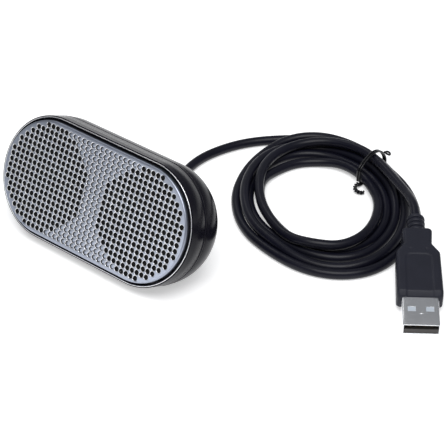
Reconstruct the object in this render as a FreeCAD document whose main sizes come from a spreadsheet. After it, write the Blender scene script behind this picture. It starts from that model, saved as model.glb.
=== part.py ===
import FreeCAD, Part
import math
import os

import Sketcher
from FreeCAD import Placement, Rotation, Vector

# USB desktop speaker bar, about 85 mm wide, with its captive cable and plug.
#
# Frame of the part: millimetres, +X to the listener's right, +Y to the back, +Z up.
# The origin is under the middle of the speaker, on the surface it stands on.
#
# The front face leans back, so the pieces of the speaker are drawn in a face frame:
# x to the right, y up the face, z straight out of it, with z = 0 on the front of the
# grille plate. "Depth" below always means distance behind that plate.

SIZES = [
    # How the face stands
    ("face_lean", 24.8, "lean of the face from upright, degrees"),
    ("face_back", -9.83, "middle of the grille, along Y"),
    ("face_up", 23.6, "middle of the grille, above the table"),
    # Case
    ("cap_centre", 21.1, "middle of the face to the centre of each round end"),
    ("case_radius", 21.4, "round ends of the front shell"),
    ("rear_radius", 21.2, "round ends of the rear shell"),
    ("seam_radius", 20.8, "bottom of the groove between the shells"),
    ("rim_depth", 1.4, "front rim of the case"),
    ("well_radius", 20.4, "recess that holds the grille plate"),
    ("baffle_front", 3.6, "depth of the baffle's front"),
    ("baffle_back", 5.2, "depth of the baffle's back"),
    ("front_cavity_radius", 18.9, "inside of the front shell"),
    ("tongue_radius", 19.45, "outside of the locating tongue"),
    ("tongue_end", 10.8, "depth of the tongue's end"),
    ("seam_depth", 9.1, "depth where the two shells meet"),
    ("seam_groove", 0.4, "width of the groove between the shells"),
    ("back_depth", 27.1, "depth of the rear shell's back"),
    ("dome_radius", 17.5, "rounding of the rear shell"),
    ("cavity_radius", 19.55, "inside of the rear shell at its mouth"),
    ("cavity_depth", 25.3, "depth of the rear shell's inner wall"),
    ("cavity_rounding", 15.5, "rounding inside the rear shell"),
    ("base_height", 0.8, "flat base above the table"),
    ("floor_height", 2.6, "inner floor above the table"),
    # Grille plate and trim
    ("plate_radius", 19.8, "round ends of the grille plate"),
    ("plate_thick", 0.8, "grille plate"),
    ("plate_edge", 0.6, "rounding of the plate's edge"),
    ("skirt_wall", 0.8, "wall of the plate's skirt"),
    ("hole_pitch", 2.07, "square grid of the grille holes"),
    ("hole_radius", 0.75, "grille hole"),
    ("hole_blind", 0.35, "depth of the dimples between the drivers"),
    ("hole_field", 18.2, "reach of the through holes round each driver"),
    ("cloth_radius", 18.9, "dust cloth"),
    ("cloth_thick", 0.2, "dust cloth"),
    ("trim_inner", 20.75, "bright trim ring, inside"),
    ("trim_outer", 21.05, "bright trim ring, outside"),
    ("trim_front", 1.3, "depth of the trim ring's front"),
    ("trim_back", 2.0, "depth of the trim ring's back"),
    # Drivers
    ("driver_offset", 21.8, "driver axis from the middle"),
    ("baffle_hole", 16.0, "driver opening in the baffle"),
    ("flange_radius", 18.0, "basket flange"),
    ("gasket_inner", 16.6, "foam gasket, inside"),
    ("gasket_outer", 17.9, "foam gasket, outside"),
    ("flange_front", 5.7, "depth of the flange's front"),
    ("flange_back", 6.3, "depth of the flange's back"),
    ("ledge_front", 10.0, "depth of the ledge that carries the spider"),
    ("ledge_back", 10.6, "back of that ledge"),
    ("seat_front", 12.0, "depth of the basket's bottom"),
    ("seat_back", 12.6, "back of the basket's bottom"),
    ("pole_plate_back", 13.8, "back of the front pole plate"),
    ("magnet_back", 17.8, "back of the magnet"),
    ("yoke_back", 19.2, "back of the yoke"),
    ("motor_radius", 8.5, "magnet, pole plate and yoke"),
    ("magnet_bore", 6.2, "bore of the magnet"),
    ("plate_bore", 5.3, "bore of the front pole plate"),
    ("pole_radius", 4.4, "centre pole of the yoke"),
    ("pole_front", 12.2, "depth of the pole's front"),
    ("former_inner", 4.75, "voice coil former, inside"),
    ("former_outer", 4.87, "voice coil former, outside"),
    ("former_front", 8.9, "depth of the former's front"),
    ("former_back", 15.3, "depth of the former's back"),
    ("winding_outer", 5.08, "voice coil winding"),
    ("winding_front", 12.0, "front of the winding"),
    ("winding_back", 14.4, "back of the winding"),
    ("cone_rim", 12.9, "outside of the paper cone"),
    ("cone_lip", 12.4, "start of the cone's flat lip"),
    ("cone_neck", 5.1, "neck of the cone"),
    ("cone_rim_front", 5.7, "front of the cone's lip"),
    ("cone_neck_front", 8.9, "front of the cone's neck"),
    ("cone_paper", 0.35, "paper of the cone"),
    ("cap_radius", 6.2, "sphere of the dust cap"),
    ("cap_paper", 0.3, "dust cap wall"),
    ("cap_latitude", 31.2, "edge of the dust cap on its sphere, degrees"),
    ("cap_base", 8.72, "depth of the dust cap's edge"),
    ("roll_centre", 14.3, "middle of the surround's roll"),
    ("roll_outer", 1.4, "outer radius of the roll"),
    ("roll_inner", 1.15, "inner radius of the roll"),
    ("surround_outer", 16.5, "outside of the surround's lip"),
    ("surround_lip", 0.25, "thickness of the surround's lips"),
    ("spider_outer", 13.2, "outside of the spider"),
    ("spider_thick", 0.3, "spider"),
    # Electronics
    ("board_wide", 22.0, "circuit board, across"),
    ("board_tall", 18.0, "circuit board, up the face"),
    ("board_thick", 1.2, "circuit board"),
    ("board_front", 14.0, "depth of the board's front"),
    ("board_shift", 1.75, "board above the middle of the face"),
    ("post_offset", 8.5, "board posts from the middle"),
    ("post_radius", 2.0, "board posts"),
    ("board_screw_radius", 0.8, "board screws"),
    # Screws that close the case
    ("upper_screw", 14.5, "upper case screw above the middle"),
    ("lower_screw", -10.5, "lower case screw"),
    ("boss_radius", 2.6, "screw bosses"),
    ("boss_meet", 12.0, "depth where the bosses meet"),
    ("screw_radius", 1.0, "case screws"),
    ("screw_head_radius", 1.9, "case screw heads"),
    ("screw_head_depth", 19.0, "depth of the screws' head seats"),
    ("counterbore_radius", 2.1, "counterbore for a screw head"),
    # Feet
    ("foot_long", 12.0, "rubber foot, across"),
    ("foot_wide", 11.0, "rubber foot, front to back"),
    ("foot_offset", 14.5, "middle of a foot from the middle"),
    ("foot_back", -2.3, "middle of the feet along Y"),
    # Cable outlet
    ("outlet_radius", 2.6, "hole for the strain relief"),
    ("relief_flange", 3.5, "inner flange of the strain relief"),
    ("relief_base", 3.2, "boot of the strain relief at the case"),
    ("relief_tip", 2.5, "boot of the strain relief at its end"),
    ("relief_end", 34.1, "depth of the strain relief's end"),
    ("cable_diameter", 3.5, "USB cable"),
    # Coil of spare cable, an oval ring
    ("coil_x", 40.9, "middle of the coil"),
    ("coil_y", 64.7, "middle of the coil"),
    ("coil_turned", 138.5, "direction of the coil's long axis, degrees"),
    ("coil_long", 46.8, "outer half length of the coil"),
    ("coil_short", 31.9, "outer half width of the coil"),
    ("coil_hole_long", 25.0, "half length of the hole in the coil"),
    ("coil_hole_short", 18.4, "half width of the hole in the coil"),
    ("coil_height", 10.6, "coil above the table"),
    ("tie_diameter", 1.0, "wire of the twist tie"),
    # USB plug
    ("plug_x", 102.57, "middle of the overmould's front"),
    ("plug_y", 35.99, "middle of the overmould's front"),
    ("plug_z", 4.42, "middle of the overmould's front"),
    ("plug_yaw", -142.5, "turn of the plug about the vertical, degrees"),
    ("plug_dip", 10.0, "dip of the plug's nose, degrees"),
    ("shell_wide", 12.0, "plug shell"),
    ("shell_tall", 4.5, "plug shell"),
    ("shell_out", 12.0, "plug shell in front of the overmould"),
    ("shell_in", 6.0, "plug shell inside the overmould"),
    ("shell_wall", 0.3, "plug shell sheet"),
    ("latch_wide", 2.6, "latch window, across"),
    ("latch_long", 2.0, "latch window, along"),
    ("latch_offset", 2.95, "latch window from the middle"),
    ("latch_centre", 5.1, "latch window in front of the overmould"),
    ("mould_thick", 8.0, "overmould"),
    ("mould_bevel", 1.6, "bevel round the overmould's front"),
    ("front_half", 7.6, "half width of the overmould's front"),
    ("shoulder_half", 7.3, "half width at the shoulder"),
    ("waist_half", 4.7, "half width at the waist"),
    ("neck_half", 5.1, "half width of the neck"),
    ("neck_end_half", 4.4, "half width of the neck's end"),
    ("shoulder_back", 19.6, "shoulder behind the front"),
    ("waist_back", 23.9, "waist behind the front"),
    ("neck_back", 30.2, "widest part of the neck behind the front"),
    ("mould_long", 31.0, "overmould"),
    ("boot_ring", 3.1, "rings of the cable boot"),
    ("boot_core", 2.4, "boot between its rings"),
    ("boot_pitch", 2.0, "spacing of the boot's rings"),
    ("tongue_wide", 11.2, "insulator in the plug"),
    ("tongue_thick", 1.8, "insulator in the plug"),
    ("contact_wide", 1.0, "plug contact"),
    ("contact_long", 7.4, "plug contact"),
    ("contact_thick", 0.15, "plug contact"),
]

doc = FreeCAD.newDocument("desktop_speaker")
sheet = doc.addObject("Spreadsheet::Sheet", "Sizes")
for row, (alias, number, meaning) in enumerate(SIZES, start=1):
    sheet.set(f"A{row}", meaning)
    sheet.set(f"B{row}", str(number))
    sheet.setAlias(f"B{row}", alias)
doc.recompute()


def size(alias):
    """One number from the sheet."""
    return float(sheet.get(alias))


parts = []   # every sub-part that is written out, in order


# ---------------------------------------------------------------- placements

FACE = Placement(Vector(0, size("face_back"), size("face_up")),
                 Rotation(Vector(1, 0, 0), 90 - size("face_lean")))
PLUG = Placement(Vector(size("plug_x"), size("plug_y"), size("plug_z")),
                 Rotation(Vector(0, 0, 1), size("plug_yaw"))
                 * Rotation(Vector(1, 0, 0), -size("plug_dip")))


def on_face(x=0, y=0, depth=0):
    """Placement of something drawn at (x, y) on the face, at a depth behind the grille."""
    return FACE * Placement(Vector(x, y, -depth), Rotation())


def in_plug(x=0, y=0, z=0):
    """Placement in the plug: x across, y towards its nose, z up."""
    return PLUG * Placement(Vector(x, y, z), Rotation())


# ------------------------------------------------------------ drawing helpers

def finish(piece, label, placement=None):
    """Name a sub-part, put it in its place and list it for writing."""
    piece.Label = label
    if placement is not None:
        piece.Placement = placement
    parts.append(piece)
    return piece


def new_body(name):
    return doc.addObject("PartDesign::Body", name)


def sketch_on(body, name, role="XY_Plane", height="0"):
    """A sketch on one of the body's own origin planes, raised by a formula."""
    plane = next(feature for feature in body.Origin.OriginFeatures if feature.Role == role)
    sketch = body.newObject("Sketcher::SketchObject", name)
    sketch.AttachmentSupport = [(plane, "")]
    sketch.MapMode = "FlatFace"
    if height != "0":
        sketch.setExpression("AttachmentOffset.Base.z", height)
    return sketch


def bind(sketch, constraint, formula):
    """Add a dimension to a sketch and drive it from the sheet."""
    index = sketch.addConstraint(constraint)
    sketch.setExpression(f"Constraints[{index}]", formula)


def add_stadium(sketch, radius):
    """A racetrack outline with its round ends on the case's cap centres."""
    line_top = sketch.GeometryCount
    arc_right = line_top + 1
    line_bottom = line_top + 2
    arc_left = line_top + 3
    span, around = size("cap_centre"), 20.0
    sketch.addGeometry(Part.LineSegment(Vector(-span, around, 0), Vector(span, around, 0)))
    circle = Part.Circle(Vector(span, 0, 0), Vector(0, 0, 1), around)
    sketch.addGeometry(Part.ArcOfCircle(circle, -math.pi / 2, math.pi / 2))
    sketch.addGeometry(Part.LineSegment(Vector(span, -around, 0), Vector(-span, -around, 0)))
    circle = Part.Circle(Vector(-span, 0, 0), Vector(0, 0, 1), around)
    sketch.addGeometry(Part.ArcOfCircle(circle, math.pi / 2, 3 * math.pi / 2))
    sketch.addConstraint(Sketcher.Constraint("Tangent", line_top, 2, arc_right, 2))
    sketch.addConstraint(Sketcher.Constraint("Tangent", arc_right, 1, line_bottom, 1))
    sketch.addConstraint(Sketcher.Constraint("Tangent", line_bottom, 2, arc_left, 2))
    sketch.addConstraint(Sketcher.Constraint("Tangent", arc_left, 1, line_top, 1))
    sketch.addConstraint(Sketcher.Constraint("Horizontal", line_top))
    sketch.addConstraint(Sketcher.Constraint("Symmetric", arc_right, 3, arc_left, 3, -1, 1))
    sketch.addConstraint(Sketcher.Constraint("PointOnObject", arc_right, 3, -1))
    bind(sketch, Sketcher.Constraint("DistanceX", -1, 1, arc_right, 3, span), "Sizes.cap_centre")
    bind(sketch, Sketcher.Constraint("Radius", arc_right, around), radius)


def add_polygon(sketch, corners):
    """A closed outline whose corners are pairs of formulas; "0" lies on an axis."""
    first = sketch.GeometryCount
    count = len(corners)
    start = [Vector(20 + 5 * math.cos(2 * math.pi * i / count),
                    20 + 5 * math.sin(2 * math.pi * i / count), 0) for i in range(count)]
    for i in range(count):
        sketch.addGeometry(Part.LineSegment(start[i], start[(i + 1) % count]))
    for i in range(count):
        following = first + (i + 1) % count
        sketch.addConstraint(Sketcher.Constraint("Coincident", first + i, 2, following, 1))
    for i, (across, along) in enumerate(corners):
        if across == "0":
            sketch.addConstraint(Sketcher.Constraint("PointOnObject", first + i, 1, -2))
        else:
            bind(sketch, Sketcher.Constraint("DistanceX", -1, 1, first + i, 1, start[i].x), across)
        if along == "0":
            sketch.addConstraint(Sketcher.Constraint("PointOnObject", first + i, 1, -1))
        else:
            bind(sketch, Sketcher.Constraint("DistanceY", -1, 1, first + i, 1, start[i].y), along)


def add_circle(sketch, across, along, radius):
    """A circle at a pair of formulas; "0" lies on an axis."""
    index = sketch.GeometryCount
    sketch.addGeometry(Part.Circle(Vector(8, 8, 0), Vector(0, 0, 1), 2))
    if across == "0":
        sketch.addConstraint(Sketcher.Constraint("PointOnObject", index, 3, -2))
    else:
        bind(sketch, Sketcher.Constraint("DistanceX", -1, 1, index, 3, 8), across)
    if along == "0":
        sketch.addConstraint(Sketcher.Constraint("PointOnObject", index, 3, -1))
    else:
        bind(sketch, Sketcher.Constraint("DistanceY", -1, 1, index, 3, 8), along)
    bind(sketch, Sketcher.Constraint("Radius", index, 2), radius)


def pad(body, name, sketch, length, backwards=False, midplane=False):
    feature = body.newObject("PartDesign::Pad", name)
    feature.Profile = sketch
    feature.setExpression("Length", length)
    feature.Reversed = backwards
    feature.Midplane = midplane
    return feature


def pocket(body, name, sketch, length, forwards=False):
    """Cut a sketch backwards (-Z) into the body, or forwards."""
    feature = body.newObject("PartDesign::Pocket", name)
    feature.Profile = sketch
    feature.setExpression("Length", length)
    feature.Reversed = forwards
    return feature


def edges_at(feature, height):
    """Names of the feature's edges that lie flat at one height."""
    names = []
    for index, edge in enumerate(feature.Shape.Edges, start=1):
        box = edge.BoundBox
        if abs(box.ZMin - height) < 0.01 and abs(box.ZMax - height) < 0.01:
            names.append(f"Edge{index}")
    return names


def round_edges(body, name, feature, edge_names, radius):
    rounding = body.newObject("PartDesign::Fillet", name)
    rounding.Base = (feature, edge_names)
    rounding.setExpression("Radius", radius)
    return rounding


def turned(name, corners, plane="XZ_Plane"):
    """A body turned about the sketch's vertical axis from a half section."""
    body = new_body(name)
    sketch = sketch_on(body, name + "_section", plane)
    add_polygon(sketch, corners)
    turn = body.newObject("PartDesign::Revolution", name + "_turn")
    turn.Profile = sketch
    turn.ReferenceAxis = (sketch, ["V_Axis"])
    turn.Angle = 360
    return body


def cylinder(name, radius, height, x=0, y=0, z=0):
    piece = doc.addObject("Part::Cylinder", name)
    piece.setExpression("Radius", radius)
    piece.setExpression("Height", height)
    piece.Placement = Placement(Vector(x, y, z), Rotation())
    return piece


def box(name, length, width, height, x, y, z):
    """A box centred on x and y, with its underside at z."""
    piece = doc.addObject("Part::Box", name)
    piece.setExpression("Length", length)
    piece.setExpression("Width", width)
    piece.setExpression("Height", height)
    doc.recompute()
    piece.Placement = Placement(Vector(x - piece.Length.Value / 2, y - piece.Width.Value / 2, z),
                                Rotation())
    return piece


def fuse(name, pieces):
    whole = doc.addObject("Part::MultiFuse", name)
    whole.Shapes = pieces
    return whole


def cut(name, base, tools):
    result = doc.addObject("Part::Cut", name)
    result.Base = base
    result.Tool = tools[0] if len(tools) == 1 else fuse(name + "_tools", tools)
    return result


def slab_below(name, height):
    """Everything under a level plane in the part's frame, as a tool in the face frame."""
    tool = doc.addObject("Part::Box", name)
    tool.Length = 120
    tool.Width = 120
    tool.Height = 40
    level = Placement(Vector(-60, -60, height - 40), Rotation())
    tool.Placement = FACE.inverse() * level
    return tool


# ------------------------------------------------------------------ grille

def stadium_wire(radius, height):
    """Racetrack wire in the face frame, for shapes made without a sketch."""
    span = size("cap_centre")
    top, bottom = Vector(0, radius, height), Vector(0, -radius, height)
    right, left = Vector(span, 0, 0), Vector(-span, 0, 0)
    return Part.Wire([
        Part.LineSegment(left + top, right + top).toShape(),
        Part.Arc(right + top, Vector(span + radius, 0, height), right + bottom).toShape(),
        Part.LineSegment(right + bottom, left + bottom).toShape(),
        Part.Arc(left + bottom, Vector(-span - radius, 0, height), left + top).toShape(),
    ])


def grille_holes():
    """Centres of the grille holes, split into through holes and blind dimples.

    The holes lie on a square grid inside a racetrack field.  Only those over a driver
    go through; the ones between and beyond the drivers are shallow dimples.
    """
    pitch = size("hole_pitch")
    through, blind = [], []
    for column in range(-19, 19):
        for line in range(-9, 9):
            across, up = column + 0.5, line + 0.5
            field_end = math.hypot(max(abs(across) - 10.2, 0.0), up)
            if field_end > 8.9:
                continue
            driver_reach = min(math.hypot(across - side * 10.5, up) for side in (-1, 1))
            centre = (across * pitch, up * pitch)
            if driver_reach * pitch <= size("hole_field"):
                through.append(centre)
            else:
                blind.append(centre)
    return through, blind


def make_grille():
    """Pressed metal plate with a skirt, made as faces with holes pulled into solids."""
    thick, edge = size("plate_thick"), size("plate_edge")
    outer = Part.Face(stadium_wire(size("plate_radius"), 0)).extrude(
        Vector(0, 0, -size("baffle_front")))
    front_edges = [e for e in outer.Edges if abs(e.BoundBox.ZMin) < 0.01]
    outer = outer.makeFillet(edge, front_edges)
    hollow = Part.Face(stadium_wire(size("plate_radius") - size("skirt_wall"), -thick)).extrude(
        Vector(0, 0, -size("baffle_front")))
    shell = outer.cut(hollow)
    through, blind = grille_holes()

    def drills(centres, depth):
        return [Part.makeCylinder(size("hole_radius"), depth + 1, Vector(x, y, -depth))
                for x, y in centres]

    tools = drills(through, thick + 0.5) + drills(blind, size("hole_blind"))
    plate = shell.cut(Part.makeCompound(tools))
    feature = doc.addObject("Part::Feature", "grille_shape")
    feature.Shape = plate.Solids[0] if len(plate.Solids) == 1 else plate
    print("grille holes", len(through), "through", len(blind), "blind")
    return feature


finish(make_grille(), "grille_plate", FACE)

cloth = new_body("cloth_body")
cloth_sketch = sketch_on(cloth, "cloth_outline", height="-Sizes.plate_thick - Sizes.cloth_thick")
add_stadium(cloth_sketch, "Sizes.cloth_radius")
pad(cloth, "cloth_pad", cloth_sketch, "Sizes.cloth_thick")
finish(cloth, "dust_cloth", FACE)

trim = new_body("trim_body")
trim_sketch = sketch_on(trim, "trim_outline", height="-Sizes.trim_back")
add_stadium(trim_sketch, "Sizes.trim_outer")
add_stadium(trim_sketch, "Sizes.trim_inner")
pad(trim, "trim_pad", trim_sketch, "Sizes.trim_back - Sizes.trim_front")
finish(trim, "trim_ring", FACE)


# ------------------------------------------------------------- front shell

front = new_body("front_body")
outline = sketch_on(front, "front_outline", height="-Sizes.seam_depth")
add_stadium(outline, "Sizes.case_radius")
pad(front, "front_wall", outline, "Sizes.seam_depth - Sizes.rim_depth")

well = sketch_on(front, "well_outline", height="-Sizes.rim_depth")
add_stadium(well, "Sizes.well_radius")
pocket(front, "well", well, "Sizes.baffle_front - Sizes.rim_depth")

groove = sketch_on(front, "trim_groove_outline", height="-Sizes.rim_depth")
add_stadium(groove, "Sizes.trim_outer")
add_stadium(groove, "Sizes.trim_inner")
pocket(front, "trim_groove", groove, "Sizes.trim_back - Sizes.rim_depth")

cavity = sketch_on(front, "cavity_outline", height="-Sizes.seam_depth")
add_stadium(cavity, "Sizes.front_cavity_radius")
pocket(front, "cavity", cavity, "Sizes.seam_depth - Sizes.baffle_back", forwards=True)

openings = sketch_on(front, "driver_openings", height="-Sizes.baffle_front")
add_circle(openings, "Sizes.driver_offset", "0", "Sizes.baffle_hole")
add_circle(openings, "-Sizes.driver_offset", "0", "Sizes.baffle_hole")
pocket(front, "driver_holes", openings, "Sizes.baffle_back - Sizes.baffle_front")

tongue = sketch_on(front, "tongue_outline", height="-Sizes.seam_depth")
add_stadium(tongue, "Sizes.tongue_radius")
add_stadium(tongue, "Sizes.front_cavity_radius")
pad(front, "tongue", tongue, "Sizes.tongue_end - Sizes.seam_depth", backwards=True)

bosses = sketch_on(front, "boss_outlines", height="-Sizes.baffle_back")
add_circle(bosses, "0", "Sizes.upper_screw", "Sizes.boss_radius")
add_circle(bosses, "0", "Sizes.lower_screw", "Sizes.boss_radius")
pad(front, "bosses", bosses, "Sizes.boss_meet - Sizes.baffle_back", backwards=True)

pilots = sketch_on(front, "pilot_outlines", height="-Sizes.boss_meet")
add_circle(pilots, "0", "Sizes.upper_screw", "Sizes.screw_radius")
add_circle(pilots, "0", "Sizes.lower_screw", "Sizes.screw_radius")
pocket(front, "pilots", pilots, "Sizes.boss_meet - Sizes.baffle_back - 0.8", forwards=True)

base_plane = slab_below("base_plane", size("base_height"))
finish(cut("front_case", front, [base_plane]), "front_shell", FACE)


# -------------------------------------------------------------- rear shell

rear = new_body("rear_body")
outline = sketch_on(rear, "rear_outline", height="-Sizes.seam_depth - Sizes.seam_groove")
add_stadium(outline, "Sizes.rear_radius")
rear_block = pad(rear, "rear_block", outline,
                 "Sizes.back_depth - Sizes.seam_depth - Sizes.seam_groove", backwards=True)
doc.recompute()
round_edges(rear, "dome", rear_block, edges_at(rear_block, -size("back_depth")),
            "Sizes.dome_radius")
lip = sketch_on(rear, "rear_lip_outline", height="-Sizes.seam_depth - Sizes.seam_groove")
add_stadium(lip, "Sizes.seam_radius")
pad(rear, "rear_lip", lip, "Sizes.seam_groove")

hollow = new_body("rear_hollow")
outline = sketch_on(hollow, "hollow_outline", height="-Sizes.seam_depth")
add_stadium(outline, "Sizes.cavity_radius")
hollow_block = pad(hollow, "hollow_block", outline, "Sizes.cavity_depth - Sizes.seam_depth",
                   backwards=True)
doc.recompute()
round_edges(hollow, "hollow_dome", hollow_block, edges_at(hollow_block, -size("cavity_depth")),
            "Sizes.cavity_rounding")

kept_inside = [slab_below("inner_floor", size("floor_height"))]
for name, height in (("upper", size("upper_screw")), ("lower", size("lower_screw"))):
    kept_inside.append(cylinder(f"{name}_boss", "Sizes.boss_radius",
                                "Sizes.back_depth - Sizes.boss_meet",
                                y=height, z=-size("back_depth")))
for name, side in (("left", -1), ("right", 1)):
    kept_inside.append(cylinder(f"{name}_post", "Sizes.post_radius",
                                "Sizes.back_depth - Sizes.board_front - Sizes.board_thick",
                                x=side * size("post_offset"), y=size("board_shift"),
                                z=-size("back_depth")))
core = cut("rear_core", hollow, kept_inside)

tongue_room = new_body("tongue_room_body")
outline = sketch_on(tongue_room, "tongue_room_outline", height="-Sizes.tongue_end - 0.1")
add_stadium(outline, "Sizes.cavity_radius")
pad(tongue_room, "tongue_room", outline, "Sizes.tongue_end + 0.1 - Sizes.seam_depth")

drilled = [base_plane, core, tongue_room]
for name, height in (("upper", size("upper_screw")), ("lower", size("lower_screw"))):
    drilled.append(cylinder(f"{name}_screw_hole", "Sizes.screw_radius + 0.1",
                            "Sizes.back_depth - Sizes.boss_meet + 1",
                            y=height, z=-size("back_depth") - 0.5))
    drilled.append(cylinder(f"{name}_counterbore", "Sizes.counterbore_radius",
                            "Sizes.back_depth - Sizes.screw_head_depth + 1",
                            y=height, z=-size("back_depth") - 1))
for name, side in (("left", -1), ("right", 1)):
    drilled.append(cylinder(f"{name}_post_hole", "Sizes.board_screw_radius", "6",
                            x=side * size("post_offset"), y=size("board_shift"),
                            z=-size("board_front") - size("board_thick") - 6))
drilled.append(cylinder("outlet_hole", "Sizes.outlet_radius",
                        "Sizes.back_depth - Sizes.cavity_depth + 2",
                        z=-size("back_depth") - 1))
finish(cut("rear_case", rear, drilled), "rear_shell", FACE)


# ---------------------------------------------------------------- drivers

def make_driver(side, x):
    """One 36 mm full-range driver, from gasket to yoke, on the face at x."""
    here = on_face(x)

    def ring(name, inner, outer, front_depth, back_depth):
        section = [(inner, "-" + front_depth), (outer, "-" + front_depth),
                   (outer, "-" + back_depth), (inner, "-" + back_depth)]
        return finish(turned(f"{name}_{side}_body", section), f"{name}_{side}", here)

    ring("gasket", "Sizes.gasket_inner", "Sizes.gasket_outer",
         "Sizes.baffle_back", "Sizes.flange_front")

    frame = turned(f"basket_{side}_body", [
        ("Sizes.gasket_inner - 0.4", "-Sizes.flange_front"),
        ("Sizes.flange_radius", "-Sizes.flange_front"),
        ("Sizes.flange_radius", "-Sizes.flange_back"),
        ("Sizes.gasket_inner + 0.2", "-Sizes.flange_back"),
        ("Sizes.spider_outer + 0.4", "-Sizes.ledge_back"),
        ("Sizes.motor_radius + 0.9", "-Sizes.ledge_back"),
        ("Sizes.motor_radius + 0.9", "-Sizes.seat_back"),
        ("Sizes.plate_bore + 0.3", "-Sizes.seat_back"),
        ("Sizes.plate_bore + 0.3", "-Sizes.seat_front"),
        ("Sizes.motor_radius + 0.3", "-Sizes.seat_front"),
        ("Sizes.motor_radius + 0.3", "-Sizes.ledge_front"),
        ("Sizes.spider_outer + 0.1", "-Sizes.ledge_front"),
    ])
    windows = []
    for index in range(4):
        angle = 45 + 90 * index
        window = doc.addObject("Part::Box", f"window_{side}_{index}")
        window.Length = 8
        window.Width = 9
        window.Height = 2.4
        turn = Placement(Vector(0, 0, 0), Rotation(Vector(0, 0, 1), angle))
        window.Placement = turn * Placement(Vector(11.5, -4.5, -9.4), Rotation())
        windows.append(window)
    finish(cut(f"basket_{side}_windows", frame, windows), f"basket_{side}", here)

    ring("pole_plate", "Sizes.plate_bore", "Sizes.motor_radius",
         "Sizes.seat_back", "Sizes.pole_plate_back")
    ring("magnet", "Sizes.magnet_bore", "Sizes.motor_radius",
         "Sizes.pole_plate_back", "Sizes.magnet_back")
    finish(turned(f"yoke_{side}_body", [
        ("0", "-Sizes.pole_front"),
        ("Sizes.pole_radius", "-Sizes.pole_front"),
        ("Sizes.pole_radius", "-Sizes.magnet_back"),
        ("Sizes.motor_radius", "-Sizes.magnet_back"),
        ("Sizes.motor_radius", "-Sizes.yoke_back"),
        ("0", "-Sizes.yoke_back"),
    ]), f"yoke_{side}", here)

    ring("spider", "Sizes.former_outer", "Sizes.spider_outer",
         "Sizes.ledge_front + Sizes.spider_thick", "Sizes.ledge_front")

    # Rubber surround: a half roll with a flat lip on each side, turned from its section.
    middle, level = size("roll_centre"), -size("flange_front")
    outer, inner, lip_thick = size("roll_outer"), size("roll_inner"), size("surround_lip")

    def at(radius, height):
        return Vector(radius, 0, height)

    lip_top = level + lip_thick
    reach = math.sqrt(outer ** 2 - lip_thick ** 2)
    section = Part.Wire([
        Part.LineSegment(at(size("cone_lip"), level), at(middle - inner, level)).toShape(),
        Part.Arc(at(middle - inner, level), at(middle, level + inner),
                 at(middle + inner, level)).toShape(),
        Part.LineSegment(at(middle + inner, level), at(size("surround_outer"), level)).toShape(),
        Part.LineSegment(at(size("surround_outer"), level),
                         at(size("surround_outer"), lip_top)).toShape(),
        Part.LineSegment(at(size("surround_outer"), lip_top), at(middle + reach, lip_top)).toShape(),
        Part.Arc(at(middle + reach, lip_top), at(middle, level + outer),
                 at(middle - reach, lip_top)).toShape(),
        Part.LineSegment(at(middle - reach, lip_top), at(size("cone_lip"), lip_top)).toShape(),
        Part.LineSegment(at(size("cone_lip"), lip_top), at(size("cone_lip"), level)).toShape(),
    ])
    roll = doc.addObject("Part::Feature", f"surround_{side}_shape")
    roll.Shape = Part.Face(section).revolve(Vector(0, 0, 0), Vector(0, 0, 1), 360)
    finish(roll, f"surround_{side}", here)

    # Moving parts: voice coil, paper cone and dust cap.
    finish(turned(f"voice_coil_{side}_body", [
        ("Sizes.former_inner", "-Sizes.former_front"),
        ("Sizes.former_outer", "-Sizes.former_front"),
        ("Sizes.former_outer", "-Sizes.winding_front"),
        ("Sizes.winding_outer", "-Sizes.winding_front"),
        ("Sizes.winding_outer", "-Sizes.winding_back"),
        ("Sizes.former_outer", "-Sizes.winding_back"),
        ("Sizes.former_outer", "-Sizes.former_back"),
        ("Sizes.former_inner", "-Sizes.former_back"),
    ]), f"voice_coil_{side}", here)
    finish(turned(f"cone_{side}_body", [
        ("Sizes.former_outer", "-Sizes.cone_neck_front"),
        ("Sizes.cone_neck", "-Sizes.cone_neck_front"),
        ("Sizes.cone_lip", "-Sizes.cone_rim_front"),
        ("Sizes.cone_rim", "-Sizes.cone_rim_front"),
        ("Sizes.cone_rim", "-Sizes.cone_rim_front - Sizes.cone_paper"),
        ("Sizes.cone_lip", "-Sizes.cone_rim_front - Sizes.cone_paper"),
        ("Sizes.cone_neck", "-Sizes.cone_neck_front - Sizes.cone_paper"),
        ("Sizes.former_outer", "-Sizes.cone_neck_front - Sizes.cone_paper"),
    ]), f"cone_{side}", here)

    ball = doc.addObject("Part::Sphere", f"cap_{side}_outside")
    ball.setExpression("Radius", "Sizes.cap_radius")
    ball.setExpression("Angle1", "Sizes.cap_latitude")
    core_ball = doc.addObject("Part::Sphere", f"cap_{side}_inside")
    core_ball.setExpression("Radius", "Sizes.cap_radius - Sizes.cap_paper")
    edge_height = size("cap_radius") * math.sin(math.radians(size("cap_latitude")))
    finish(cut(f"cap_{side}", ball, [core_ball]), f"dust_cap_{side}",
           on_face(x, 0, size("cap_base") + edge_height))


for driver_side, direction in (("left", -1), ("right", 1)):
    make_driver(driver_side, direction * size("driver_offset"))


# ------------------------------------------------------------ circuit board

board = box("board_blank", "Sizes.board_wide", "Sizes.board_tall", "Sizes.board_thick",
            0, size("board_shift"), -size("board_front") - size("board_thick"))
board_holes = []
for name, side in (("left", -1), ("right", 1)):
    board_holes.append(cylinder(f"{name}_board_hole", "Sizes.board_screw_radius + 0.1", "4",
                                x=side * size("post_offset"), y=size("board_shift"),
                                z=-size("board_front") - size("board_thick") - 1))
finish(cut("board_cut", board, board_holes), "circuit_board", FACE)

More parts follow.
